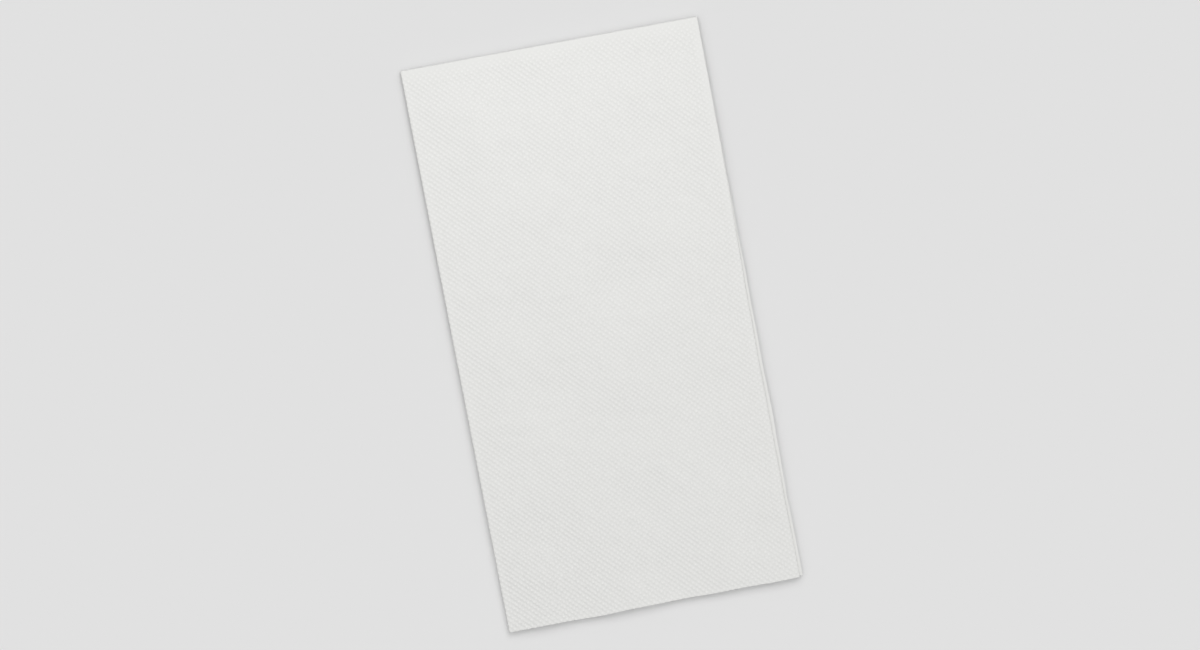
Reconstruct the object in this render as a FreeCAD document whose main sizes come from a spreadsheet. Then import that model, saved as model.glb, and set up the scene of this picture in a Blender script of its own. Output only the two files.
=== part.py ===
import FreeCAD, Part
import math
import os
import Sketcher

# Folded paper napkin, in millimetres.
# One sheet is folded in half, in half again the same way, and once across.
# The first two folds run along Y and leave four layers. The cross fold, along X, makes them eight.
# Seen from above, the cross fold is at +Y, the open end at -Y, the wrap fold at -X,
# and the first fold and the sheet's two long cut edges are at +X.
# On the upper leaves the first fold has crept inwards towards the open end, so the cut edges show past it.
# The origin is under the middle of the napkin, on the face that it lies on.

NODE = "napkin"
SHEET_NAME = "Sizes"
HALF_TURN_DEG = 180

# Driving sizes: name, value, and what it measures.
SIZES = (
    ("folded_width", 100.0, "wrap fold to cut edges"),
    ("folded_length", 190.0, "cross fold to open end"),
    ("paper_thickness", 0.25, "one layer of embossed two-ply paper"),
    ("layer_gap", 0.15, "air between two layers"),
    ("setback_at_cross_fold", 0.1, "first fold inside the cut edges, beside the cross fold and below it"),
    ("setback_at_open_end", 1.5, "first fold inside the cut edges, at the upper leaves' open end"),
    ("cut_edge_step", 0.4, "lower cut edge inside the upper one"),
)

# Sizes that follow from the driving ones, written for the expression engine.
PAPER = f"{SHEET_NAME}.paper_thickness"
GAP = f"{SHEET_NAME}.layer_gap"
HALF_WIDTH = f"{SHEET_NAME}.folded_width / 2"
TIGHT_RADIUS = f"{GAP} / 2"
FOLD_RADIUS = f"({TIGHT_RADIUS} + {PAPER})"
WRAP_INNER_RADIUS = f"({FOLD_RADIUS} + {GAP})"
WRAP_OUTER_RADIUS = f"({WRAP_INNER_RADIUS} + {PAPER})"
HALF_STACK = f"(4 * {PAPER} + 3.5 * {GAP})"


def add_sizes(doc):
    """Spreadsheet with one named cell for each driving size."""
    sheet = doc.addObject("Spreadsheet::Sheet", SHEET_NAME)
    for row, (name, value, meaning) in enumerate(SIZES, start=1):
        sheet.set(f"A{row}", name)
        sheet.set(f"B{row}", str(value))
        sheet.set(f"C{row}", meaning)
        sheet.setAlias(f"B{row}", name)
    doc.recompute()
    return sheet


def origin_plane(body, role):
    """One of the body's own origin planes."""
    return next(feature for feature in body.Origin.OriginFeatures if feature.Role == role)


# Ends and middle of a sketch element, as the sketcher numbers them.
START, END, CENTRE = 1, 2, 3
SKETCH_ORIGIN = (-1, 1)
QUARTER_TURN = math.pi / 2

# Where a face of a layer runs smoothly into a fold: face, its end, fold, its end.
SMOOTH_JOINS = (
    ("bottom_4", END, "wrap_outside", END),
    ("top_1", START, "wrap_outside", START),
    ("top_1", END, "fold_outside", END),
    ("bottom_2", START, "fold_outside", START),
    ("bottom_2", END, "lining_inside", START),
    ("top_3", START, "lining_inside", END),
    ("bottom_3", END, "lining_outside", END),
    ("top_2", START, "lining_outside", START),
    ("top_2", END, "fold_inside", START),
    ("bottom_1", START, "fold_inside", END),
    ("bottom_1", END, "wrap_inside", START),
    ("top_4", START, "wrap_inside", END),
)

# Corners at the two cut edges.
CORNERS = (
    ("top_3", END, "cut_3", START),
    ("cut_3", END, "bottom_3", START),
    ("top_4", END, "cut_4", START),
    ("cut_4", END, "bottom_4", START),
)


class LayerProfile:
    """Section across four layers, numbered from the top. It is one band of paper: from the cut edge of
    layer 4 round the outside of the wrap into layer 1, back round the first fold into layer 2,
    round the lining of the wrap into layer 3, and out to that layer's cut edge."""

    def __init__(self, body, name, setback, distance=None, upside_down=False):
        self.sketch = body.newObject("Sketcher::SketchObject", name)
        self.sketch.AttachmentSupport = [(origin_plane(body, "XZ_Plane"), "")]
        self.sketch.MapMode = "FlatFace"
        if distance:
            self.sketch.setExpression("AttachmentOffset.Base.z", distance)
        if upside_down:
            turn = FreeCAD.Rotation(FreeCAD.Vector(1, 0, 0), HALF_TURN_DEG)
            self.sketch.AttachmentOffset = FreeCAD.Placement(FreeCAD.Vector(), turn)
        self.setback = setback
        self.parts = {}
        self.draw(body.Document.getObject(SHEET_NAME))
        self.join()
        self.size()

    def draw(self, sizes):
        """Lines and arcs, in the order in which they follow each other round the band."""
        pitch = sizes.paper_thickness + sizes.layer_gap
        tight = sizes.layer_gap / 2
        fold = tight + sizes.paper_thickness
        wrap_inner = fold + sizes.layer_gap
        wrap_outer = wrap_inner + sizes.paper_thickness
        low = [tight + layer * pitch for layer in range(4)]
        high = [level + sizes.paper_thickness for level in low]
        upper_cut = sizes.folded_width / 2
        lower_cut = upper_cut - sizes.cut_edge_step
        wrap = FreeCAD.Vector(wrap_outer - upper_cut, 2 * pitch, 0)
        first = FreeCAD.Vector(upper_cut - getattr(sizes, self.setback) - fold, 3 * pitch, 0)
        self.face("bottom_4", lower_cut, wrap.x, low[0])
        self.fold("wrap_outside", wrap, wrap_outer, QUARTER_TURN)
        self.face("top_1", wrap.x, first.x, high[3])
        self.fold("fold_outside", first, fold, -QUARTER_TURN)
        self.face("bottom_2", first.x, wrap.x, low[2])
        self.fold("lining_inside", wrap, tight, QUARTER_TURN)
        self.face("top_3", wrap.x, upper_cut, high[1])
        self.cut("cut_3", upper_cut, high[1], low[1])
        self.face("bottom_3", upper_cut, wrap.x, low[1])
        self.fold("lining_outside", wrap, fold, QUARTER_TURN)
        self.face("top_2", wrap.x, first.x, high[2])
        self.fold("fold_inside", first, tight, -QUARTER_TURN)
        self.face("bottom_1", first.x, wrap.x, low[3])
        self.fold("wrap_inside", wrap, wrap_inner, QUARTER_TURN)
        self.face("top_4", wrap.x, lower_cut, high[0])
        self.cut("cut_4", lower_cut, high[0], low[0])

    def face(self, name, start, end, level):
        """One side of a layer, level, from start to end across the leaf."""
        line = Part.LineSegment(FreeCAD.Vector(start, level, 0), FreeCAD.Vector(end, level, 0))
        self.parts[name] = self.sketch.addGeometry(line, False)
        self.constrain("Horizontal", self.parts[name])

    def cut(self, name, across, start, end):
        """A square cut edge, from start up or down to end."""
        line = Part.LineSegment(FreeCAD.Vector(across, start, 0), FreeCAD.Vector(across, end, 0))
        self.parts[name] = self.sketch.addGeometry(line, False)
        self.constrain("Vertical", self.parts[name])

    def fold(self, name, centre, radius, angle):
        """Half a turn round a fold, anticlockwise from the angle given."""
        circle = Part.Circle(centre, FreeCAD.Vector(0, 0, 1), radius)
        arc = Part.ArcOfCircle(circle, angle, angle + 2 * QUARTER_TURN)
        self.parts[name] = self.sketch.addGeometry(arc, False)

    def constrain(self, kind, *values):
        """One constraint of the sketch."""
        return self.sketch.addConstraint(Sketcher.Constraint(kind, *values))

    def join(self):
        """Closes the band, and puts the folds that wrap each other round one centre."""
        for kind, joins in (("Tangent", SMOOTH_JOINS), ("Coincident", CORNERS)):
            for one, one_end, other, other_end in joins:
                self.constrain(kind, self.parts[one], one_end, self.parts[other], other_end)
        nested = (
            ("wrap_outside", "wrap_inside"),
            ("wrap_outside", "lining_outside"),
            ("wrap_outside", "lining_inside"),
            ("fold_outside", "fold_inside"),
        )
        for outer, inner in nested:
            self.constrain("Coincident", self.parts[outer], CENTRE, self.parts[inner], CENTRE)

    def size(self):
        """Binds the section to the sizes."""
        self.radius("lining_inside", TIGHT_RADIUS)
        self.radius("lining_outside", FOLD_RADIUS)
        self.radius("wrap_inside", WRAP_INNER_RADIUS)
        self.distance("level", "DistanceY", SKETCH_ORIGIN, ("bottom_4", START), TIGHT_RADIUS)
        self.distance(
            "wrap", "DistanceX", ("wrap_outside", CENTRE), SKETCH_ORIGIN,
            f"{HALF_WIDTH} - {WRAP_OUTER_RADIUS}",
        )
        self.distance(
            "first", "DistanceX", SKETCH_ORIGIN, ("fold_outside", CENTRE),
            f"{HALF_WIDTH} - {SHEET_NAME}.{self.setback} - {FOLD_RADIUS}",
        )
        self.distance("upper_cut", "DistanceX", SKETCH_ORIGIN, ("top_3", END), HALF_WIDTH)
        self.distance(
            "lower_cut", "DistanceX", SKETCH_ORIGIN, ("bottom_4", START),
            f"{HALF_WIDTH} - {SHEET_NAME}.cut_edge_step",
        )

    def radius(self, fold, expression):
        """A fold's radius, from the sizes."""
        arc = self.sketch.Geometry[self.parts[fold]]
        number = self.constrain("Radius", self.parts[fold], arc.Radius)
        self.bind(number, f"{fold}_radius", expression)

    def distance(self, name, kind, start, end, expression):
        """A distance from one point to another, from the sizes."""
        points = [(self.parts.get(part, part), point) for part, point in (start, end)]
        places = [self.sketch.getPoint(*point) for point in points]
        apart = places[1] - places[0]
        number = self.constrain(kind, *points[0], *points[1], apart.x if kind == "DistanceX" else apart.y)
        self.bind(number, f"{name}_place", expression)

    def bind(self, number, name, expression):
        """Names a dimension and ties it to the sizes."""
        self.sketch.renameConstraint(number, name)
        self.sketch.setExpression(f"Constraints.{name}", expression)


def make_napkin(doc):
    """The folded sheet: the four layers turned over at the cross fold, the lower leaves straight under
    it, and the upper leaves running to an open end where the first fold has crept inwards."""
    body = doc.addObject("PartDesign::Body", "Napkin")
    body.Label = NODE
    run = f"{SHEET_NAME}.folded_length - {HALF_STACK}"
    above = LayerProfile(body, "SectionAbove", "setback_at_cross_fold").sketch
    below = LayerProfile(body, "SectionBelow", "setback_at_cross_fold", upside_down=True).sketch
    open_end = LayerProfile(body, "SectionAtOpenEnd", "setback_at_open_end", run).sketch

    cross_fold = body.newObject("PartDesign::Revolution", "CrossFold")
    cross_fold.Profile = above
    cross_fold.ReferenceAxis = (above, ["H_Axis"])
    cross_fold.Angle = HALF_TURN_DEG
    cross_fold.Reversed = True

    lower = body.newObject("PartDesign::Pad", "LowerLeaves")
    lower.Profile = below
    lower.setExpression("Length", run)
    lower.Reversed = True

    upper = body.newObject("PartDesign::AdditiveLoft", "UpperLeaves")
    upper.Profile = above
    upper.Sections = [open_end]
    upper.Ruled = True
    body.Tip = upper

    body.setExpression("Placement.Base.y", f"{SHEET_NAME}.folded_length / 2 - {HALF_STACK}")
    body.setExpression("Placement.Base.z", HALF_STACK)
    return body


def check(doc, body):
    """Stops if a feature failed or the napkin isn't one sound solid."""
    failed = [item.Name for item in doc.Objects if {"Invalid", "Error"} & set(item.State)]
    if failed:
        raise RuntimeError(f"failed features: {failed}")
    loose = [item.Name for item in doc.Objects
             if item.TypeId == "Sketcher::SketchObject" and not item.FullyConstrained]
    if loose:
        raise RuntimeError(f"sketches that aren't fully constrained: {loose}")
    shape = body.Shape
    if shape.isNull() or not shape.isValid() or len(shape.Solids) != 1:
        raise RuntimeError("the napkin isn't one valid solid")


def main():
    doc = FreeCAD.newDocument("FoldedNapkin")
    add_sizes(doc)
    napkin = make_napkin(doc)
    doc.recompute()
    check(doc, napkin)
    os.makedirs("parts", exist_ok=True)
    napkin.Shape.exportStep(f"parts/{NODE}.step")
    box = napkin.Shape.optimalBoundingBox(False)
    print(f"{NODE}: {box.XLength:.2f} x {box.YLength:.2f} x {box.ZLength:.2f} mm, "
          f"volume {napkin.Shape.Volume:.0f} mm3, lowest point {box.ZMin:.3f}")


main()
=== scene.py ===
"""Folded white paper napkin, lying flat.

One embossed paper sheet, folded lengthwise, lengthwise again and once across, so that eight layers lie
on each other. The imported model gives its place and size. The sheet is a closed mesh of its own: soft
folds, cut edges that don't quite line up, and the embossing raised from the surface that shows.
"""

from __future__ import annotations

import logging
import math
from dataclasses import dataclass, field
from enum import Enum

import bpy
import numpy as np
from mathutils import Euler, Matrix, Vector

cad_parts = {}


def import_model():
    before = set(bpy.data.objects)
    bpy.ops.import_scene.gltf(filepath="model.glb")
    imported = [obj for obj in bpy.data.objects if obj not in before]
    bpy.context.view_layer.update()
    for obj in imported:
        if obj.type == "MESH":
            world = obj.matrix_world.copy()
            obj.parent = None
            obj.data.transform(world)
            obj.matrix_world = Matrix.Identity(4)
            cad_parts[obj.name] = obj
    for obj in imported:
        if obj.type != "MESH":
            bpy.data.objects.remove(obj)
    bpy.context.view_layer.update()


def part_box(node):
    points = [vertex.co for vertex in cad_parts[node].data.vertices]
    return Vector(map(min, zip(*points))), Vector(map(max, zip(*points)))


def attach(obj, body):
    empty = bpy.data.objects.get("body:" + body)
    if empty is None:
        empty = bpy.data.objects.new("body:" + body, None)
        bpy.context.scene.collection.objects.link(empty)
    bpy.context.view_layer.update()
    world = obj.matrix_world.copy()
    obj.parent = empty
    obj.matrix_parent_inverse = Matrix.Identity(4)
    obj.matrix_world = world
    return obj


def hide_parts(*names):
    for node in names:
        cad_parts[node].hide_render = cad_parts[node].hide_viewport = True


MM = 0.001
LOG = logging.getLogger("napkin")
NODE = "napkin"
BODY = "root"
LAYERS = 8

# Pressed folds are squarer than a half circle, which would have 2.
FOLD_SQUARENESS = 4.0

# What the finish reads off the mesh: its map of the flat sheet, FLAT_SPAN metres across, and how strong
# the dots are.
FLAT_MAP = "flat_sheet"
FLAT_SPAN = 0.8
STRENGTH = "dot_strength"


class Step(Enum):
    """Stretches of the path across the four layers of one half, in order, from cut edge to cut edge."""

    LAYER_4 = 0
    WRAP = 1
    LAYER_1 = 2
    FIRST_FOLD = 3
    LAYER_2 = 4
    LINING = 5
    LAYER_3 = 6


class Side(Enum):
    """The two faces of the paper, with the sign of their offset. OUTER is the one that shows on top."""

    OUTER = 1.0
    INNER = -1.0


def add_object(name: str, data: bpy.types.ID) -> bpy.types.Object:
    """Puts a new object that holds the data into the scene, at the origin."""
    added = bpy.data.objects.new(name, data)
    bpy.context.scene.collection.objects.link(added)
    return added


def smooth_step(low: float, high: float, value: np.ndarray) -> np.ndarray:
    """Rises from 0 at low to 1 at high as 3t^2 - 2t^3, where t is the way from low to high.

    Args:
        low: value where the rise starts.
        high: value where it ends.
        value: where it is wanted.

    Returns:
        The step, as large as value.
    """
    way = np.clip((value - low) / (high - low), 0.0, 1.0)
    return way * way * (3.0 - 2.0 * way)


@dataclass(frozen=True)
class Waves:
    """A gentle random surface: a sum of plane waves of different lengths and directions.

    Attributes:
        shortest: shortest wave, in metres.
        longest: longest wave, in metres.
        count: number of waves.
        seed: seed of their directions and phases.
    """

    shortest: float
    longest: float
    count: int
    seed: int

    def at(self, x: np.ndarray, y: np.ndarray) -> np.ndarray:
        """Sum over the waves of sin(2 pi (x cos a + y sin a) / length + phase), with a spread of about 1.

        Args:
            x: places across the napkin, in metres.
            y: places along it.

        Returns:
            The surface's height at each place, without a unit.
        """
        draw = np.random.default_rng(self.seed)
        lengths = np.exp(draw.uniform(math.log(self.shortest), math.log(self.longest), self.count))
        angles = draw.uniform(0.0, 2.0 * math.pi, self.count)
        phases = draw.uniform(0.0, 2.0 * math.pi, self.count)
        turns_x = np.cos(angles) / lengths
        turns_y = np.sin(angles) / lengths
        waves = np.sin(2.0 * math.pi * (x[..., None] * turns_x + y[..., None] * turns_y) + phases)
        return waves.sum(axis=-1) * math.sqrt(2.0 / self.count)


@dataclass(frozen=True)
class Embossing:
    """Raised round dots on a centred lattice: one at each corner of a cell and one in its middle.

    Attributes:
        across: the cell's width, in metres.
        along: the cell's length.
        start: place of a cell's end, along the sheet.
        depth: height of a dot over the hollow beside it.
        sharpness: above 1, the dots get narrower than the hollows between them.
        level: share of the depth that lies under the paper's plain face.
        steps: grid steps in a cell, each way, so that dots, flanks and hollows all get vertices.
        drawn: share that the material draws as well, for the slopes that the mesh's few steps flatten.
        inside: how strong the dots are on the layers inside.
    """

    across: float = 2.0 * MM
    along: float = 1.93 * MM
    start: float = -1.5 * MM
    depth: float = 0.215 * MM
    sharpness: float = 1.25
    level: float = 0.45
    steps: int = 4
    drawn: float = 0.75
    inside: float = 0.15

    def height(self, x: np.ndarray, y: np.ndarray) -> np.ndarray:
        """depth times (((1 + cos(2 pi x / across) cos(2 pi (y - start) / along)) / 2)^sharpness - level).

        Args:
            x: places across the sheet, in metres.
            y: places along it.

        Returns:
            Height over the paper's plain face, in metres.
        """
        turn = 2.0 * math.pi
        dots = np.cos(turn * x / self.across) * np.cos(turn * (y - self.start) / self.along)
        return self.depth * (((1.0 + dots) / 2.0) ** self.sharpness - self.level)


@dataclass(frozen=True)
class Bulge:
    """A stretch of an edge that stands out, or in if its height is below 0.

    Attributes:
        at: its middle, along the edge, in metres.
        width: half its width.
        height: how far it stands out.
    """

    at: float
    width: float
    height: float

    def out(self, place: np.ndarray) -> np.ndarray:
        """height times exp(-((place - at) / width)^2), for places along the edge."""
        return self.height * np.exp(-(((place - self.at) / self.width) ** 2))


@dataclass(frozen=True)
class Crease:
    """A short soft dent in the top leaf.

    Attributes:
        x: its middle, across the napkin, in metres.
        y: its middle, along the napkin.
        angle: direction that it runs in, in degrees from +X.
        length: half its length.
        width: half its width.
        depth: how deep it is; below 0 it is a ridge.
    """

    x: float
    y: float
    angle: float
    length: float
    width: float
    depth: float

    def height(self, x: np.ndarray, y: np.ndarray) -> np.ndarray:
        """-depth times exp(-(a / length)^2 - (b / width)^2), with a along the crease and b across it.

        Args:
            x: places across the napkin, in metres.
            y: places along it.

        Returns:
            The dent's height, in metres.
        """
        turn = math.radians(self.angle)
        along = (x - self.x) * math.cos(turn) + (y - self.y) * math.sin(turn)
        across = (y - self.y) * math.cos(turn) - (x - self.x) * math.sin(turn)
        return -self.depth * np.exp(-((along / self.length) ** 2) - (across / self.width) ** 2)


@dataclass
class Path:
    """Points on the middle of the paper across one half's four layers, with the outer face's normal.

    Attributes:
        x: place across the napkin.
        level: height over the plane in which the upper half meets the lower one.
        normal_x: normal, across.
        normal_level: normal, upwards in the upper half.
        step: value of the Step that each point is in.
        flat: distance across the flat sheet, 0 where x is 0 on layer 1.
    """

    x: np.ndarray
    level: np.ndarray
    normal_x: np.ndarray
    normal_level: np.ndarray
    step: np.ndarray
    flat: np.ndarray


@dataclass
class FoldedNapkin:
    """The folded sheet: its sizes, its mesh and its dressing. Every length is in metres.

    Attributes:
        width: across the leaf, wrap fold to cut edges.
        length: cross fold to open end.
        height: of the eight layers.
        paper: thickness of the paper.
        cut_edge_step: lower cut edge of a half, inside the upper one.
        setback: first fold, inside the cut edges beside the cross fold.
        creep: how far the first fold moves in on the upper leaves.
        creep_from: how far from the cross fold the creep starts.
        creep_to: how far from it the creep is whole.
        creep_back: what it loses again near the open end.
        creep_back_from: how far from the cross fold that starts.
        embossing: the raised dots.
        flat: size of the sheet before it was folded; not used.
    """

    width: float
    length: float
    height: float
    paper: float = 0.25 * MM
    cut_edge_step: float = 0.4 * MM
    setback: float = 0.1 * MM
    creep: float = 1.0 * MM
    creep_from: float = 42.0 * MM
    creep_to: float = 112.0 * MM
    creep_back: float = 0.1 * MM
    creep_back_from: float = 160.0 * MM
    embossing: Embossing = field(default_factory=Embossing)
    flat: tuple[float, float] = (0.400, 0.380)

    # Slow rises and falls of the stack, which fade beside its long edges, finer ones of the leaf on top,
    # and where its dots are uneven. The dots are deeper towards the lower left corner, and no hollow of
    # the leaf goes deeper than a share of the paper's thickness.
    swell: Waves = field(default_factory=lambda: Waves(22.0 * MM, 70.0 * MM, 14, 5))
    cockle: Waves = field(default_factory=lambda: Waves(5.0 * MM, 22.0 * MM, 30, 8))
    grain: Waves = field(default_factory=lambda: Waves(2.2 * MM, 6.0 * MM, 40, 21))
    swell_share: float = 0.07
    cockle_height: float = 0.035 * MM
    deepest_share: float = 0.6
    grain_share: float = 0.05
    corner_share: float = 0.4
    corner_reach: float = 75.0 * MM
    swell_inset: float = 14.0 * MM

    # Where the embossing is ironed out: a band along the cross fold, and one along the first fold that
    # ends where the fold has crept in. Each is given by where it starts to fade and where it has faded.
    ironed_top: tuple[float, float] = (0.5 * MM, 4.5 * MM)
    ironed_right: tuple[float, float] = (0.5 * MM, 3.0 * MM)
    ironed_to: float = 80.0 * MM
    ironed_strength: float = 0.35

    # How the cut edges wander, how far the open end is set in at each of its turns and on the lower
    # leaves, and where the edges stand out. The lower cut edge wanders more, by a factor.
    edge_waves: Waves = field(default_factory=lambda: Waves(14.0 * MM, 60.0 * MM, 6, 11))
    edge_wander: float = 0.05 * MM
    lower_wander: float = 2.0
    end_setbacks: tuple[float, ...] = (0.65 * MM, 0.0, 0.0, 0.25 * MM, 0.45 * MM)
    lower_setback: float = 0.7 * MM
    end_reach: float = 40.0 * MM
    side_bulges: tuple[Bulge, ...] = (
        Bulge(135.0 * MM, 8.0 * MM, 0.24 * MM),
        Bulge(164.0 * MM, 9.0 * MM, -0.22 * MM),
    )
    end_bulges: tuple[Bulge, ...] = (
        Bulge(-18.0 * MM, 7.0 * MM, 0.16 * MM),
        Bulge(8.0 * MM, 18.0 * MM, -0.07 * MM),
        Bulge(40.0 * MM, 9.0 * MM, 0.17 * MM),
    )

    # The leaf isn't quite square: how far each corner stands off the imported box, across and along, from
    # the lower left one to the upper right one, lower ones first.
    corner_offsets: tuple[tuple[float, float], ...] = (
        (0.43 * MM, -0.22 * MM),
        (-0.11 * MM, -0.05 * MM),
        (-0.30 * MM, 0.31 * MM),
        (0.26 * MM, -0.25 * MM),
    )

    creases: tuple[Crease, ...] = (
        Crease(5.0 * MM, -48.0 * MM, 24.0, 5.0 * MM, 0.7 * MM, 0.11 * MM),
        Crease(-32.0 * MM, -32.5 * MM, -14.0, 8.0 * MM, 0.9 * MM, 0.11 * MM),
        Crease(-17.0 * MM, -30.5 * MM, 8.0, 11.0 * MM, 1.0 * MM, 0.09 * MM),
        Crease(-14.0 * MM, 11.5 * MM, 2.0, 13.0 * MM, 1.2 * MM, -0.09 * MM),
        Crease(22.0 * MM, 43.0 * MM, -23.0, 9.0 * MM, 1.0 * MM, 0.09 * MM),
        Crease(13.0 * MM, 4.0 * MM, 40.0, 4.0 * MM, 0.8 * MM, 0.1 * MM),
        Crease(36.0 * MM, 36.0 * MM, -10.0, 6.0 * MM, 0.9 * MM, 0.1 * MM),
    )

    # The stack sinks towards the cross fold, which is pressed, the wrap fold and the open end.
    pressed_share: float = 0.2
    pressed_reach: float = 22.0 * MM
    wrap_share: float = 0.12
    wrap_reach: float = 20.0 * MM
    end_share: float = 0.2

    # Steps of the mesh across each stretch of the path, and along the napkin. A narrow row, the guard,
    # keeps the shading of each fold and cut edge to itself. Two rows, the open end's and its guard, come
    # before the dots. The embossing rises from its grid's border within a share of a coarse step.
    guard: float = 0.12 * MM
    end_rows: int = 2
    rise: float = 0.3
    layer_steps: int = 18
    wrap_steps: int = 12
    fold_steps: int = 8
    cells_across: int = 48
    cells_along: int = 96
    cells_per_step: int = 2
    cross_fold_steps: int = 14
    lower_steps: int = 24

    @property
    def every(self) -> int:
        """Steps of the fine grid in one of the coarse grid."""
        return self.embossing.steps * self.cells_per_step

    @property
    def pitch(self) -> float:
        """From one layer to the next: all of them, less one gap, make the height."""
        return (self.height - self.paper) / (LAYERS - 1)

    @property
    def wrap_centre(self) -> float:
        """Place across the napkin of the middle of the wrap fold."""
        return -self.width / 2 + 1.5 * self.pitch + self.paper / 2

    @property
    def first_centre(self) -> float:
        """Place across the napkin of the middle of the first fold, beside the cross fold."""
        return self.width / 2 - self.setback - 0.5 * self.pitch - self.paper / 2

    @property
    def fold_line(self) -> float:
        """Place along the napkin where the leaves run into the cross fold."""
        return self.length / 2 - self.height / 2

    def path(self) -> Path:
        """Middle of the paper across four layers. Layers are level lines, pitch apart, and folds are half
        circles round the wrap's centre, with radii of 1.5 and 0.5 pitch, and round the first fold's centre,
        with a radius of 0.5 pitch.

        Returns:
            The points, from the cut edge of layer 4 to that of layer 3.
        """
        pitch = self.pitch
        wrap = self.wrap_centre
        upper_cut = self.width / 2
        lower_cut = upper_cut - self.cut_edge_step
        layer_4 = np.append(lower_cut, np.linspace(lower_cut - self.guard, wrap, self.layer_steps + 1))
        layer_3 = np.append(np.linspace(wrap, upper_cut - self.guard, self.layer_steps + 1), upper_cut)
        first = self.first_centre
        cells = np.arange(0, self.cells_across + 1, self.cells_per_step) - self.cells_across / 2
        lattice = self.embossing.across * cells
        layer_1 = np.concatenate([[wrap, wrap + self.guard], lattice, [first - self.guard, first]])
        stretches = [
            self.leaf(Step.LAYER_4, layer_4, 0.5 * pitch, -1.0),
            self.turn(Step.WRAP, wrap, 2.0 * pitch, 1.5 * pitch, (270.0, 90.0), self.wrap_steps, 1.0),
            self.leaf(Step.LAYER_1, layer_1, 3.5 * pitch, 1.0),
            self.turn(Step.FIRST_FOLD, first, 3.0 * pitch, 0.5 * pitch, (90.0, -90.0), self.fold_steps, 1.0),
            self.leaf(Step.LAYER_2, np.linspace(first, wrap, self.layer_steps + 1), 2.5 * pitch, -1.0),
            self.turn(Step.LINING, wrap, 2.0 * pitch, 0.5 * pitch, (90.0, 270.0), self.fold_steps, -1.0),
            self.leaf(Step.LAYER_3, layer_3, 1.5 * pitch, 1.0),
        ]
        x, level, normal_x, normal_level, step = np.concatenate(stretches, axis=1)
        flat = np.concatenate([[0.0], np.cumsum(np.hypot(np.diff(x), np.diff(level)))])
        start = np.argmax(step == Step.LAYER_1.value)
        return Path(x, level, normal_x, normal_level, step, flat - flat[start] + x[start])

    @staticmethod
    def leaf(step: Step, x: np.ndarray, level: float, facing: float) -> np.ndarray:
        """A layer of the path, as rows of x, level, normal_x, normal_level and step.

        Args:
            step: which layer.
            x: its points across the napkin. The ends belong to the folds beside it, or are cut edges.
            level: its height over the middle plane.
            facing: 1 where the paper's outer face is up, -1 where it is down.

        Returns:
            Five rows of numbers.
        """
        ends = {Step.LAYER_4: slice(0, -1), Step.LAYER_3: slice(1, None)}
        inside = x[ends.get(step, slice(1, -1))]
        same = np.ones_like(inside)
        return np.stack([inside, level * same, 0.0 * same, facing * same, step.value * same])

    @staticmethod
    def turn(
        step: Step, centre: float, level: float, radius: float, angles: tuple[float, float], steps: int,
        facing: float,
    ) -> np.ndarray:
        """A fold of the path, pressed: (centre + radius c, level + radius s) for a between two angles,
        where c and s are cos a and sin a to the power 2/n and n is the squareness.

        Args:
            step: which fold.
            centre: its centre, across the napkin.
            level: its centre's height over the middle plane.
            radius: its radius.
            angles: first and last angle, in degrees.
            steps: how many steps the half turn has.
            facing: 1 where the paper's outer face looks away from the centre, -1 where it looks at it.

        Returns:
            Five rows of numbers, as leaf gives.
        """
        angle = np.radians(np.linspace(*angles, steps + 1))
        cosine, sine = np.cos(angle), np.sin(angle)
        power = 2.0 / FOLD_SQUARENESS
        x = centre + radius * np.sign(cosine) * np.abs(cosine) ** power
        z = level + radius * np.sign(sine) * np.abs(sine) ** power
        same = np.full_like(angle, step.value)
        return np.stack([x, z, facing * cosine, facing * sine, same])

    def rows(self) -> tuple[np.ndarray, np.ndarray]:
        """Places of the mesh's rows: up the upper leaves, over the cross fold and back down the lower ones.

        Returns:
            The place along the napkin of each row, and the angle that the cross fold has turned by.
        """
        fold = self.fold_line
        cells = np.arange(0, self.cells_along + 1, self.cells_per_step) - self.cells_along / 2
        lattice = self.embossing.along * cells + self.embossing.start
        end = -self.length / 2
        upper = np.concatenate([[end, end + self.guard], lattice, [fold - self.guard]])
        over = np.full(self.cross_fold_steps + 1, fold)
        lower = np.append(np.linspace(fold, end + self.guard, self.lower_steps + 1)[1:], end)
        angle = np.concatenate(
            [np.zeros(len(upper)), np.linspace(0.0, math.pi, len(over)), np.full(len(lower), math.pi)]
        )
        return np.concatenate([upper, over, lower]), angle

    def around(self, angle: np.ndarray) -> tuple[np.ndarray, np.ndarray]:
        """The cross fold's profile, a rounded square: |sin a|^(2/n) along the napkin and cos a in the same
        way upwards, where n is the squareness.

        Args:
            angle: cross fold's angle at each row, in radians.

        Returns:
            The two shares of a layer's distance from the middle plane, along and upwards.
        """
        sine, cosine = np.sin(angle), np.cos(angle)
        power = 2.0 / FOLD_SQUARENESS
        return np.clip(sine, 0.0, 1.0) ** power, np.sign(cosine) * np.abs(cosine) ** power

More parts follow.
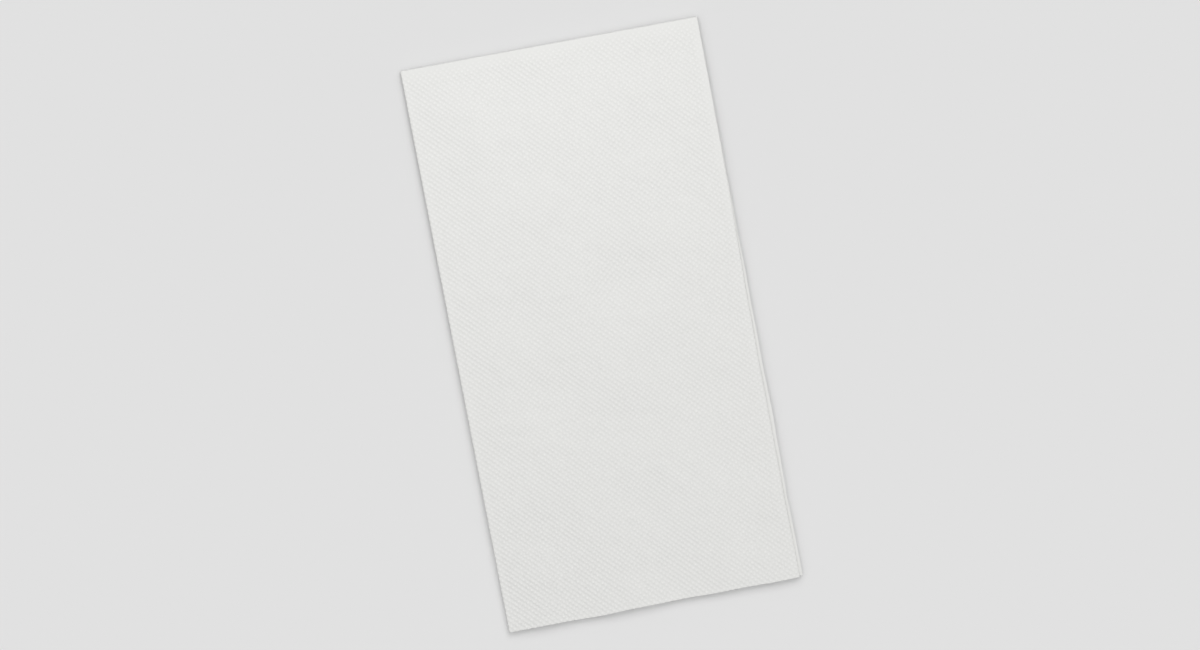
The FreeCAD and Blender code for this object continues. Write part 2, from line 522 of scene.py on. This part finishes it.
    def place(self, path: Path, y: np.ndarray, angle: np.ndarray, side: Side) -> np.ndarray:
        """Points of one face of the paper. Each is half the paper's thickness off the path, along its
        normal, carried round the cross fold, moved sideways as its edges wander, moved with the leaf's
        corners by their shares, and raised in proportion to the stack's own thickness there.

        Args:
            path: points across the layers, one for each column.
            y: place along the napkin of each row.
            angle: cross fold's angle at each row, in radians.
            side: which face.

        Returns:
            An array of rows x columns x 3, in metres.
        """
        offset = side.value * self.paper / 2
        over, upwards = self.around(angle)
        level = (path.level + offset * path.normal_level)[None, :]
        x = (path.x + offset * path.normal_x)[None, :] + self.wander(path, y, angle)
        along = y[:, None] + level * over[:, None] + self.set_in(path, x, y, angle)
        up = self.height / 2 + level * upwards[:, None]
        right = x / self.width + 0.5
        top = along / self.length + 0.5
        shares = [wide * tall for tall in (1.0 - top, top) for wide in (1.0 - right, right)]
        moved_x = sum(share * corner[0] for share, corner in zip(shares, self.corner_offsets))
        moved_y = sum(share * corner[1] for share, corner in zip(shares, self.corner_offsets))
        return np.stack([x + moved_x, along + moved_y, up * self.thickness(x, along)], axis=-1)

    def wander(self, path: Path, y: np.ndarray, angle: np.ndarray) -> np.ndarray:
        """How far each point is moved across the napkin: nothing at the wrap, and all of its own edge's
        wander at the first fold or the cut edge that its layer runs to.

        Args:
            path: points across the layers.
            y: place along the napkin of each row.
            angle: cross fold's angle at each row.

        Returns:
            An array of rows x columns, in metres.
        """
        upper = (np.cos(angle) > 0.0).astype(float)
        down = self.length / 2 - y
        crept = self.creep * smooth_step(self.creep_from, self.creep_to, down)
        back = self.creep_back * smooth_step(self.creep_back_from, self.length, down)
        own = self.edge_wander * smooth_step(0.0, self.end_reach, down)
        first = -(crept - back) * upper + own * self.edge_waves.at(0.0 * y, y)
        third = sum(bulge.out(down) for bulge in self.side_bulges) + own * self.edge_waves.at(0.0 * y, -y)
        fourth = third + self.lower_wander * own * self.edge_waves.at(y, 0.0 * y)
        reach = np.clip((path.x - self.wrap_centre) / (self.width / 2 - self.wrap_centre), 0.0, 1.0)
        edge_of = {Step.LAYER_3: third, Step.LAYER_4: fourth}
        moved = np.repeat(first[:, None], len(path.x), axis=1)
        for step, edge in edge_of.items():
            moved = np.where(path.step[None, :] == step.value, edge[:, None], moved)
        return moved * reach[None, :]

    def set_in(self, path: Path, x: np.ndarray, y: np.ndarray, angle: np.ndarray) -> np.ndarray:
        """How far each point is moved along the napkin, up from the open end: each fold turns the sheet a
        little askew, so the setback runs straight from one fold to the next, and the end wanders a bit.

        Args:
            path: points across the layers, or across one of them.
            x: places across the napkin.
            y: place along it of each row.
            angle: cross fold's angle at each row.

        Returns:
            An array of rows x columns, in metres.
        """
        near_end = 1.0 - smooth_step(0.0, self.end_reach, y + self.length / 2)
        lower = (np.cos(angle) < 0.0).astype(float)
        turns = [Step.LAYER_4, Step.WRAP, Step.FIRST_FOLD, Step.LINING, Step.LAYER_3]
        whole = self.path()
        places = [whole.flat[np.argmax(whole.step == step.value)] for step in turns[:-1]] + [whole.flat[-1]]
        skew = np.interp(path.flat, places, self.end_setbacks)[None, :]
        waves = self.edge_wander * self.edge_waves.at(path.flat[None, :] + 0.0 * x, lower[:, None] + 0.0 * x)
        outline = sum(bulge.out(x) for bulge in self.end_bulges)
        return near_end[:, None] * (skew + waves - outline + self.lower_setback * lower[:, None])

    def thickness(self, x: np.ndarray, y: np.ndarray) -> np.ndarray:
        """Thickness of the stack, as a share of its height: 1, less a share at the cross fold, the wrap
        fold and the open end that fades by a smooth step over its own reach, plus the slow swells.

        Args:
            x: places across the napkin.
            y: places along it.

        Returns:
            The share, as large as x.
        """
        down = self.length / 2 - y
        pressed = self.pressed_share * (1.0 - smooth_step(0.0, self.pressed_reach, down))
        open_end = self.end_share * smooth_step(self.length - self.end_reach, self.length, down)
        wrapped = self.wrap_share * (1.0 - smooth_step(0.0, self.wrap_reach, x + self.width / 2))
        inside = smooth_step(0.0, self.swell_inset, self.width / 2 - np.abs(x))
        return 1.0 - pressed - wrapped - open_end + self.swell_share * inside * self.swell.at(x, y)

    def build(self) -> bpy.types.Object:
        """Makes the sheet as one closed mesh: both faces of the paper on a coarse grid, a fine grid for
        the leaf that shows on top, and a rim along the four cut edges.

        Returns:
            The mesh's object, at the origin.
        """
        path = self.path()
        y, angle = self.rows()
        outer = self.place(path, y, angle, Side.OUTER)
        inner = self.place(path, y, angle, Side.INNER)
        rows, columns = len(y), len(path.x)
        outer_index = np.arange(rows * columns).reshape(rows, columns)
        inner_index = outer_index + rows * columns
        first_row = self.end_rows
        last_row = first_row + self.cells_along // self.cells_per_step
        first_column = int(np.argmax(path.step == Step.LAYER_1.value)) + 1
        last_column = first_column + self.cells_across // self.cells_per_step
        window = (slice(first_row, last_row + 1), slice(first_column, last_column + 1))
        fine_points, fine_flat, fine_strength = self.fine_leaf(path, window)
        fine_index = np.arange(fine_points[..., 0].size).reshape(fine_points.shape[:2]) + 2 * rows * columns
        shared = np.ones_like(outer_index[window], bool)
        shared[1:-1, 1:-1] = False
        fine_index[::self.every, ::self.every][shared] = outer_index[window][shared]

        cells = np.ones((rows - 1, columns - 1), bool)
        cells[first_row - 1:last_row + 1, first_column:last_column] = False
        cells[first_row:last_row, first_column - 1:last_column + 1] = False
        smooth = [self.quads(fine_index), self.quads(outer_index)[cells.ravel()]]
        smooth.append(self.quads(inner_index)[:, ::-1])
        smooth.append(self.gussets(fine_index, outer_index, window))
        rims = self.rims(outer_index, inner_index)

        flat_rows = self.flat_rows(y, angle)
        coarse_flat = np.stack(np.broadcast_arrays(path.flat[None, :], flat_rows[:, None]), axis=-1)
        points = np.concatenate([part.reshape(-1, 3) for part in (outer, inner, fine_points)])
        flat = np.concatenate([part.reshape(-1, 2) for part in (coarse_flat, coarse_flat, fine_flat)])
        strength = np.full((2, rows, columns), self.embossing.inside)
        shown = np.isin(path.step, [step.value for step in (Step.WRAP, Step.LAYER_1, Step.FIRST_FOLD)])
        strength[0][:, shown] = self.emboss_strength(outer[:, shown, 0], outer[:, shown, 1])
        strength = np.concatenate([strength.ravel(), fine_strength.ravel()])
        return self.to_object(points, smooth, rims, flat, strength)

    @staticmethod
    def quads(index: np.ndarray) -> np.ndarray:
        """Corners of every cell of a grid of vertices, in the order that makes the faces point outwards.
        Every other cell starts one corner on, so that none is halved from a dot to the saddle beside it.

        Args:
            index: vertex numbers, rows x columns.

        Returns:
            An array of cells x 4.
        """
        corners = np.stack((index[:-1, 1:], index[1:, 1:], index[1:, :-1], index[:-1, :-1]), axis=-1)
        rows, columns = np.indices(corners.shape[:2])
        other = (rows + columns) % 2 == 1
        corners[other] = np.roll(corners[other], 1, axis=-1)
        return corners.reshape(-1, 4)

    @staticmethod
    def rims(outer: np.ndarray, inner: np.ndarray) -> np.ndarray:
        """The four cut edges: a strip of cells from the border of the outer face to that of the inner one.

        Args:
            outer: vertex numbers of the outer face.
            inner: those of the inner face.

        Returns:
            An array of cells x 4.
        """
        borders = (
            (outer[0, ::-1], inner[0, ::-1]),
            (outer[-1], inner[-1]),
            (outer[:, 0], inner[:, 0]),
            (outer[::-1, -1], inner[::-1, -1]),
        )
        strips = [np.stack([one[:-1], one[1:], other[1:], other[:-1]], axis=-1) for one, other in borders]
        return np.concatenate(strips)

    def gussets(self, fine: np.ndarray, coarse: np.ndarray, window: tuple[slice, slice]) -> np.ndarray:
        """Faces that join the fine grid's border to the coarse grid, one for each coarse step.

        Args:
            fine: vertex numbers of the fine grid.
            coarse: those of the coarse one.
            window: the coarse grid's rows and columns that the fine grid covers.

        Returns:
            An array of faces x corners.
        """
        rows, columns = window
        sides = (
            (fine[0, :], coarse[rows.start - 1, columns]),
            (fine[::-1, 0], coarse[rows, columns.start - 1][::-1]),
            (fine[-1, ::-1], coarse[rows.stop, columns][::-1]),
            (fine[:, -1], coarse[rows, columns.stop]),
        )
        made = []
        for near, far in sides:
            steps = np.arange(len(far) - 1)
            close = near[steps[:, None] * self.every + np.arange(self.every, -1, -1)[None, :]]
            made.append(np.concatenate([far[:-1, None], far[1:, None], close], axis=1))
        return np.concatenate(made)

    def fine_leaf(
        self, path: Path, window: tuple[slice, slice]
    ) -> tuple[np.ndarray, np.ndarray, np.ndarray]:
        """The leaf that shows on top, with a vertex on each dot, flank and hollow of the embossing.

        Args:
            path: points across the layers.
            window: the coarse grid's rows and columns that the fine grid covers.

        Returns:
            The points, their places on the flat sheet, and how strong the dots are there.
        """
        rows, columns = window
        fine = np.arange((columns.stop - columns.start - 1) * self.every + 1) / self.every
        steps = np.arange((rows.stop - rows.start - 1) * self.every + 1) / self.every
        lines = (path.x, path.level, path.normal_x, path.normal_level, path.step, path.flat)
        leaf = Path(*(np.interp(fine, np.arange(len(line[columns])), line[columns]) for line in lines))
        coarse_y = self.rows()[0][rows]
        y = np.interp(steps, np.arange(len(coarse_y)), coarse_y)
        points = self.place(leaf, y, np.zeros_like(y), Side.OUTER)
        flat_rows = self.flat_rows(y, np.zeros_like(y))
        flat = np.stack(np.broadcast_arrays(leaf.flat[None, :], flat_rows[:, None]), axis=-1)
        to_border = np.minimum(
            np.minimum(steps, steps[-1] - steps)[:, None], np.minimum(fine, fine[-1] - fine)[None, :]
        )
        raised = smooth_step(0.0, self.rise, to_border)
        across, along = points[..., 0], points[..., 1]
        strength = self.emboss_strength(across, along)
        relief = strength * self.embossing.height(flat[..., 0], flat[..., 1])
        relief += self.cockle_height * self.cockle.at(across, along)
        relief += sum(crease.height(across, along) for crease in self.creases)
        deepest = -self.deepest_share * self.paper * self.thickness(across, along)
        points[..., 2] += raised * np.maximum(relief, deepest)
        return points, flat, strength

    def emboss_strength(self, x: np.ndarray, y: np.ndarray) -> np.ndarray:
        """How strongly the paper is embossed: ironed out along the cross fold and along the first fold
        beside it, deeper towards the lower left corner, and a little uneven elsewhere.

        Args:
            x: places across the napkin.
            y: places along it.

        Returns:
            A share from about 0.3 to 1.6.
        """
        down = self.length / 2 - y
        from_right = self.width / 2 - x
        top = smooth_step(*self.ironed_top, down)
        right = smooth_step(*self.ironed_right, from_right)
        past_corner = smooth_step(self.creep_from, self.ironed_to, down)
        from_corner = np.hypot(x + self.width / 2, y + self.length / 2)
        deeper = self.corner_share * (1.0 - smooth_step(0.0, self.corner_reach, from_corner))
        uneven = 1.0 + deeper + self.grain_share * self.grain.at(x, y)
        full = top * np.maximum(right, past_corner)
        return uneven * (self.ironed_strength + (1.0 - self.ironed_strength) * full)

    def flat_rows(self, y: np.ndarray, angle: np.ndarray) -> np.ndarray:
        """Place of each row along the flat sheet: y, plus the arc of the cross fold at the layers' mean
        radius, 2 pitch, and then back down.

        Args:
            y: place along the napkin of each row.
            angle: cross fold's angle at each row.

        Returns:
            Distances, above 0 on the lower leaves, in metres. They follow y on the upper ones.
        """
        over = 2.0 * self.pitch * angle
        return np.where(np.cos(angle) > 0.0, y + over, 2.0 * self.fold_line - y + over)

    @staticmethod
    def to_object(
        points: np.ndarray, smooth: list[np.ndarray], rims: np.ndarray, flat: np.ndarray,
        strength: np.ndarray,
    ) -> bpy.types.Object:
        """Puts the arrays into a mesh, leaving out the vertices that no face uses.

        Args:
            points: vertices, in metres.
            smooth: vertex numbers of the faces that are shaded smooth, in arrays of one kind each.
            rims: those of the cut edges' faces, which are shaded flat.
            flat: each vertex's place on the flat sheet, in metres.
            strength: how strong the dots are, for each vertex.

        Returns:
            The object that holds the mesh.
        """
        faces = [*smooth, rims]
        counts = np.concatenate([np.full(len(part), part.shape[1]) for part in faces])
        corners = np.concatenate([part.ravel() for part in faces])
        used = np.zeros(len(points), bool)
        used[corners] = True
        corners = (np.cumsum(used) - 1)[corners]
        mesh = bpy.data.meshes.new("folded_sheet")
        mesh.vertices.add(int(used.sum()))
        mesh.loops.add(len(corners))
        mesh.polygons.add(len(counts))
        mesh.vertices.foreach_set("co", points[used].astype(np.float32).ravel())
        mesh.loops.foreach_set("vertex_index", corners.astype(np.int32))
        mesh.polygons.foreach_set("loop_start", (np.cumsum(counts) - counts).astype(np.int32))
        mesh.update(calc_edges=True)
        mesh.validate()
        is_smooth = np.arange(len(counts)) < len(counts) - len(rims)
        mesh.polygons.foreach_set("use_smooth", is_smooth)
        spread = flat[used] / FLAT_SPAN + 0.5
        mesh.uv_layers.new(name=FLAT_MAP).data.foreach_set("uv", spread[corners].astype(np.float32).ravel())
        dots = mesh.attributes.new(STRENGTH, "FLOAT", "POINT")
        dots.data.foreach_set("value", strength[used].astype(np.float32))
        return add_object("folded_sheet", mesh)


class Signal:
    """A node's output socket that takes part in Python expressions: each operator adds a Math node."""

    def __init__(self, graph: Graph, socket: bpy.types.NodeSocket) -> None:
        """Keeps the graph that new nodes go into, and the socket."""
        self.graph = graph
        self.socket = socket

    def __add__(self, other: Signal | float) -> Signal:
        """Sum."""
        return self.graph.math("ADD", self, other)

    def __sub__(self, other: Signal | float) -> Signal:
        """Difference."""
        return self.graph.math("SUBTRACT", self, other)

    def __rsub__(self, other: float) -> Signal:
        """Difference, taken from a number."""
        return self.graph.math("SUBTRACT", other, self)

    def __mul__(self, other: Signal | float) -> Signal:
        """Product."""
        return self.graph.math("MULTIPLY", self, other)

    def __rtruediv__(self, other: float) -> Signal:
        """Quotient of a number by this."""
        return self.graph.math("DIVIDE", other, self)

    def __pow__(self, other: Signal | float) -> Signal:
        """Power."""
        return self.graph.math("POWER", self, other)

    __radd__ = __add__
    __rmul__ = __mul__


@dataclass(frozen=True)
class Pattern:
    """A noise pattern.

    Attributes:
        scale: how many bumps it has in a metre.
        detail: how many finer layers it has.
        distortion: how much it is pulled about.
        stretch: its scale across the paper, as a share of that along it.
    """

    scale: float
    detail: float
    distortion: float
    stretch: float = 1.0


class Graph:
    """The nodes of one material or world."""

    def __init__(self, owner: bpy.types.Material | bpy.types.World) -> None:
        """Empties the owner's tree of nodes and keeps it."""
        owner.use_nodes = True
        self.tree = owner.node_tree
        self.tree.nodes.clear()

    def node(self, kind: str, settings: dict | None = None, inputs: dict | None = None) -> bpy.types.Node:
        """Adds a node.

        Args:
            kind: the node's type.
            settings: its own settings, such as a Math node's operation, set first.
            inputs: values or links of its sockets, by name or number.

        Returns:
            The node.
        """
        node = self.tree.nodes.new(kind)
        for name, value in (settings or {}).items():
            setattr(node, name, value)
        for name, value in (inputs or {}).items():
            if isinstance(value, Signal):
                self.tree.links.new(value.socket, node.inputs[name])
            else:
                node.inputs[name].default_value = value
        return node

    def math(self, operation: str, *values: Signal | float) -> Signal:
        """A Math node.

        Args:
            operation: what it does.
            *values: its inputs.

        Returns:
            Its result.
        """
        return self.out(self.node("ShaderNodeMath", {"operation": operation}, dict(enumerate(values))), 0)

    def out(self, node: bpy.types.Node, name: str | int) -> Signal:
        """One output of a node, by name or number."""
        return Signal(self, node.outputs[name])

    def noise(self, place: Signal, pattern: Pattern) -> Signal:
        """Adds a noise pattern.

        Args:
            place: where it is read, in metres.
            pattern: what it is like.

        Returns:
            Its strength, about 0.5 on average.
        """
        if pattern.stretch != 1.0:
            scales = (pattern.stretch, 1.0, 1.0)
            stretched = self.node("ShaderNodeMapping", {}, {"Vector": place, "Scale": scales})
            place = self.out(stretched, "Vector")
        inputs = {"Vector": place, "Scale": pattern.scale, "Detail": pattern.detail}
        inputs["Distortion"] = pattern.distortion
        return self.out(self.node("ShaderNodeTexNoise", {"noise_dimensions": "2D"}, inputs), "Fac")

    def grey(self, level: Signal) -> Signal:
        """A grey of a varying level, as a colour."""
        channels = dict.fromkeys(("Red", "Green", "Blue"), level)
        return self.out(self.node("ShaderNodeCombineColor", {}, channels), "Color")

    def mix(self, share: Signal, low: tuple[float, ...], high: tuple[float, ...]) -> Signal:
        """A colour between two others.

        Args:
            share: 0 for low and 1 for high.
            low: red, green and blue.
            high: the same.

        Returns:
            The colour.
        """
        # The node has sockets of the same name for numbers and vectors, so those for colours go by number.
        inputs = {"Factor": share, 6: (*low, 1.0), 7: (*high, 1.0)}
        return self.out(self.node("ShaderNodeMix", {"data_type": "RGBA"}, inputs), 2)


@dataclass(frozen=True)
class TissueFinish:
    """Soft white two-ply tissue: matt, faintly warm, with a grain of short fibres.

    Attributes:
        thin: colour where the fibres lie thinner.
        thick: colour where they lie thicker, and towards which the painted highlights on the dot tops go.
        fibre_relief: height of the fibre grain, in metres.
        ripple_relief: height of the fine ripples across the paper.
        highlight_sharpness: the higher it is, the smaller the painted highlight on each dot's top.
        highlight_share: how far the painted highlights go from the thin colour to the thick one: the
            dot tops are painted paler, for the light that they catch.
        cloud_share: how far the paper's wide clouds go.
        fibre_share: how far its fibres go.
        clouds: the wide clouds.
        fibres: the fibres.
        ripples: the fine ripples.
        roughness: where there are no fibres.
        fibre_roughness: how much the fibres add to it.
        specular: strength of the reflection.
    """

    thin: tuple[float, float, float] = (0.750, 0.750, 0.733)
    thick: tuple[float, float, float] = (0.8485, 0.8485, 0.8345)
    fibre_relief: float = 0.014 * MM
    ripple_relief: float = 0.012 * MM
    highlight_sharpness: float = 4.0
    highlight_share: float = 0.73
    cloud_share: float = 0.15
    fibre_share: float = 0.15
    clouds: Pattern = Pattern(1.0 / (9.0 * MM), 3.0, 0.4)
    fibres: Pattern = Pattern(1.0 / (0.55 * MM), 3.0, 0.8)
    ripples: Pattern = Pattern(1.0 / (0.38 * MM), 1.0, 0.3, stretch=0.35)
    roughness: float = 0.86
    fibre_roughness: float = 0.1
    specular: float = 0.2

    def material(self, embossing: Embossing) -> bpy.types.Material:
        """Makes the paper's material.

        Args:
            embossing: the dots that it draws where the mesh has none.

        Returns:
            The material.
        """
        material = bpy.data.materials.new("white_tissue")
        graph = Graph(material)
        flat = graph.out(graph.node("ShaderNodeUVMap", {"uv_map": FLAT_MAP}), "UV")
        scaled = graph.node(
            "ShaderNodeMapping",
            {},
            {"Vector": flat, "Location": (-FLAT_SPAN / 2,) * 3, "Scale": (FLAT_SPAN,) * 3},
        )
        place = graph.out(scaled, "Vector")
        clouds = graph.noise(place, self.clouds)
        fibres = graph.noise(place, self.fibres)
        ripples = graph.noise(place, self.ripples)
        dots, strength = self.dots(graph, place, embossing)
        drawn = (dots**embossing.sharpness - embossing.level) * strength
        grain = fibres * self.fibre_relief + ripples * self.ripple_relief
        relief = grain + drawn * (embossing.drawn * embossing.depth)
        # Painted highlight: the tops of the raised dots are made paler, for the light that they catch, the
        # more so where the dots are strong.
        painted_highlight = dots**self.highlight_sharpness * strength
        share = clouds * self.cloud_share + fibres * self.fibre_share + painted_highlight * self.highlight_share
        bump = graph.node("ShaderNodeBump", {}, {"Height": relief, "Strength": 1.0, "Distance": 1.0})
        shader = graph.node(
            "ShaderNodeBsdfPrincipled",
            {},
            {
                "Base Color": graph.mix(share, self.thin, self.thick),
                "Roughness": self.roughness + self.fibre_roughness * fibres,
                "Normal": graph.out(bump, "Normal"),
                "Specular IOR Level": self.specular,
            },
        )
        graph.node("ShaderNodeOutputMaterial", {}, {"Surface": graph.out(shader, "BSDF")})
        return material

    @staticmethod
    def dots(graph: Graph, place: Signal, embossing: Embossing) -> tuple[Signal, Signal]:
        """The dots by the formula of the mesh, from 0 in the hollows to 1 on their tops.

        Args:
            graph: nodes of the material.
            place: place on the flat sheet, in metres.
            embossing: the dots' sizes.

        Returns:
            The dots, and how strong they are.
        """
        split = graph.node("ShaderNodeSeparateXYZ", {}, {"Vector": place})
        turn = 2.0 * math.pi
        across = graph.math("COSINE", graph.out(split, "X") * (turn / embossing.across))
        along = graph.math("COSINE", (graph.out(split, "Y") - embossing.start) * (turn / embossing.along))
        strength = graph.out(graph.node("ShaderNodeAttribute", {"attribute_name": STRENGTH}), "Fac")
        return graph.math("MAXIMUM", across * along * 0.5 + 0.5, 0.0), strength


@dataclass
class Studio:
    """Pale floor, soft light from the upper right and a camera that looks straight down. The strengths of
    the lights are shares of the light that makes a colour look as it is written.

    Attributes:
        view_width: width that the picture shows at the leaf on top, in metres.
        roll: how far the napkin is turned anticlockwise in the picture, in degrees.
        off_middle: the leaf's middle from the picture's middle, to the right and up.
        aim_height: height of the leaf on top.
        distance: the camera's distance from it.
        sensor: width of the camera's sensor, in its own millimetres.
        backdrop: the floor's and the backdrop's grey.
        floor_size: the floor's length and width, in metres.
        sky: what the sky gives a level surface.
        zenith: share of that which comes from overhead.
        key: what the broad light from one side gives.
        key_spread: how wide it is, in degrees.
        key_height: how high it stands, in degrees.
        key_turn: its direction over the floor, in degrees from +X.
        lamp: what the near lamp gives right under it.
        lamp_place: where it hangs, in metres.
        lamp_size: its diameter.
    """

    view_width: float = 0.3995
    roll: float = 10.8
    off_middle: tuple[float, float] = (0.73 * MM, 0.33 * MM)
    aim_height: float = 3.0 * MM
    distance: float = 4.0
    sensor: float = 36.0
    backdrop: float = 0.753
    floor_size: float = 60.0
    sky: float = 0.838
    zenith: float = 0.65
    key: float = 0.122
    key_spread: float = 36.0
    key_height: float = 48.0
    key_turn: float = 57.0
    lamp: float = 0.117
    lamp_place: tuple[float, float, float] = (0.0, 0.125, 0.175)
    lamp_size: float = 0.05

    def build(self) -> None:
        """Makes the floor, the lights and the camera."""
        self.set_floor()
        self.set_sky()
        self.set_key()
        self.set_lamp()
        self.set_camera()
        bpy.context.scene.view_settings.view_transform = "Standard"

    def set_floor(self) -> None:
        """Makes a plain floor that the napkin lies on. Its colour is the backdrop's over the light that
        falls there, sky + key + lamp (h^2 / (h^2 + r^2))^2 at r from the foot of the lamp, so that it looks
        the same all over."""
        half = self.floor_size / 2
        mesh = bpy.data.meshes.new("floor")
        corners = [(-half, -half, 0.0), (half, -half, 0.0), (half, half, 0.0), (-half, half, 0.0)]
        mesh.from_pydata(corners, [], [(0, 1, 2, 3)])
        material = bpy.data.materials.new("pale_floor")
        graph = Graph(material)
        place = graph.out(graph.node("ShaderNodeTexCoord"), "Object")
        foot = (*self.lamp_place[:2], 0.0)
        distance = graph.node("ShaderNodeVectorMath", {"operation": "DISTANCE"}, {0: place, 1: foot})
        away = graph.out(distance, "Value")
        height = self.lamp_place[2]
        under = (height**2 / (away**2.0 + height**2)) ** 2.0
        light = under * self.lamp + (self.sky + self.key)
        shader = graph.node("ShaderNodeBsdfDiffuse", {}, {"Color": graph.grey(self.backdrop / light)})
        graph.node("ShaderNodeOutputMaterial", {}, {"Surface": graph.out(shader, "BSDF")})
        mesh.materials.append(material)
        add_object("floor", mesh)

    def set_sky(self) -> None:
        """Makes a pale sky that brightens towards its top as the square of the height's sine, and that the
        camera sees as the backdrop's grey. An even part of strength 1 gives 1, and the other gives 1/2."""
        world = bpy.data.worlds.new("studio")
        bpy.context.scene.world = world
        graph = Graph(world)
        way = graph.out(graph.node("ShaderNodeTexCoord"), "Generated")
        up = graph.out(graph.node("ShaderNodeSeparateXYZ", {}, {"Vector": way}), "Z")
        sky = up * up * (2.0 * self.sky * self.zenith) + self.sky * (1.0 - self.zenith)
        seen = graph.out(graph.node("ShaderNodeLightPath"), "Is Camera Ray")
        strength = seen * self.backdrop + (1.0 - seen) * sky
        white = (1.0, 1.0, 1.0, 1.0)
        shader = graph.node("ShaderNodeBackground", {}, {"Color": white, "Strength": strength})
        graph.node("ShaderNodeOutputWorld", {}, {"Surface": graph.out(shader, "Background")})

    def set_key(self) -> None:
        """Makes the broad light: strength times pi over the sine of its height, in watts a square metre."""
        light = bpy.data.lights.new("key", "SUN")
        height = math.radians(self.key_height)
        light.energy = self.key * math.pi / math.sin(height)
        light.angle = math.radians(self.key_spread)
        lamp = add_object("key", light)
        lamp.rotation_euler = (math.pi / 2 - height, 0.0, math.radians(self.key_turn) + math.pi / 2)

    def set_lamp(self) -> None:
        """Makes the near lamp, which shines down: strength times (pi times height)^2, in watts."""
        light = bpy.data.lights.new("near_lamp", "AREA")
        light.shape = "DISK"
        light.size = self.lamp_size
        light.energy = self.lamp * (math.pi * self.lamp_place[2]) ** 2
        lamp = add_object("near_lamp", light)
        lamp.location = self.lamp_place
        lamp.visible_camera = False

    def set_camera(self) -> None:
        """Puts the camera over the napkin, rolled so that the napkin lies as turned as it should."""
        data = bpy.data.cameras.new("camera")
        data.sensor_width = self.sensor
        data.lens = self.sensor * self.distance / self.view_width
        camera = add_object("camera", data)
        facing = Euler((0.0, 0.0, math.radians(-self.roll)))
        right, up = self.off_middle
        back = facing.to_matrix() @ Vector((-right, -up, self.distance))
        camera.location = back + Vector((0.0, 0.0, self.aim_height))
        camera.rotation_euler = facing
        bpy.context.scene.camera = camera


def main() -> None:
    """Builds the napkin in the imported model's place, dresses it and sets it in the studio."""
    logging.basicConfig(level=logging.INFO, format="%(name)s: %(message)s")
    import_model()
    low, high = (np.array(corner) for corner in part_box(NODE))
    width, length, height = high - low
    napkin = FoldedNapkin(float(width), float(length), float(height))
    piece = napkin.build()
    piece.data.materials.append(TissueFinish().material(napkin.embossing))
    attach(piece, BODY)
    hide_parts(NODE)
    LOG.info("%s: %d faces", piece.name, len(piece.data.polygons))
    Studio().build()


if __name__ == "__main__":
    main()
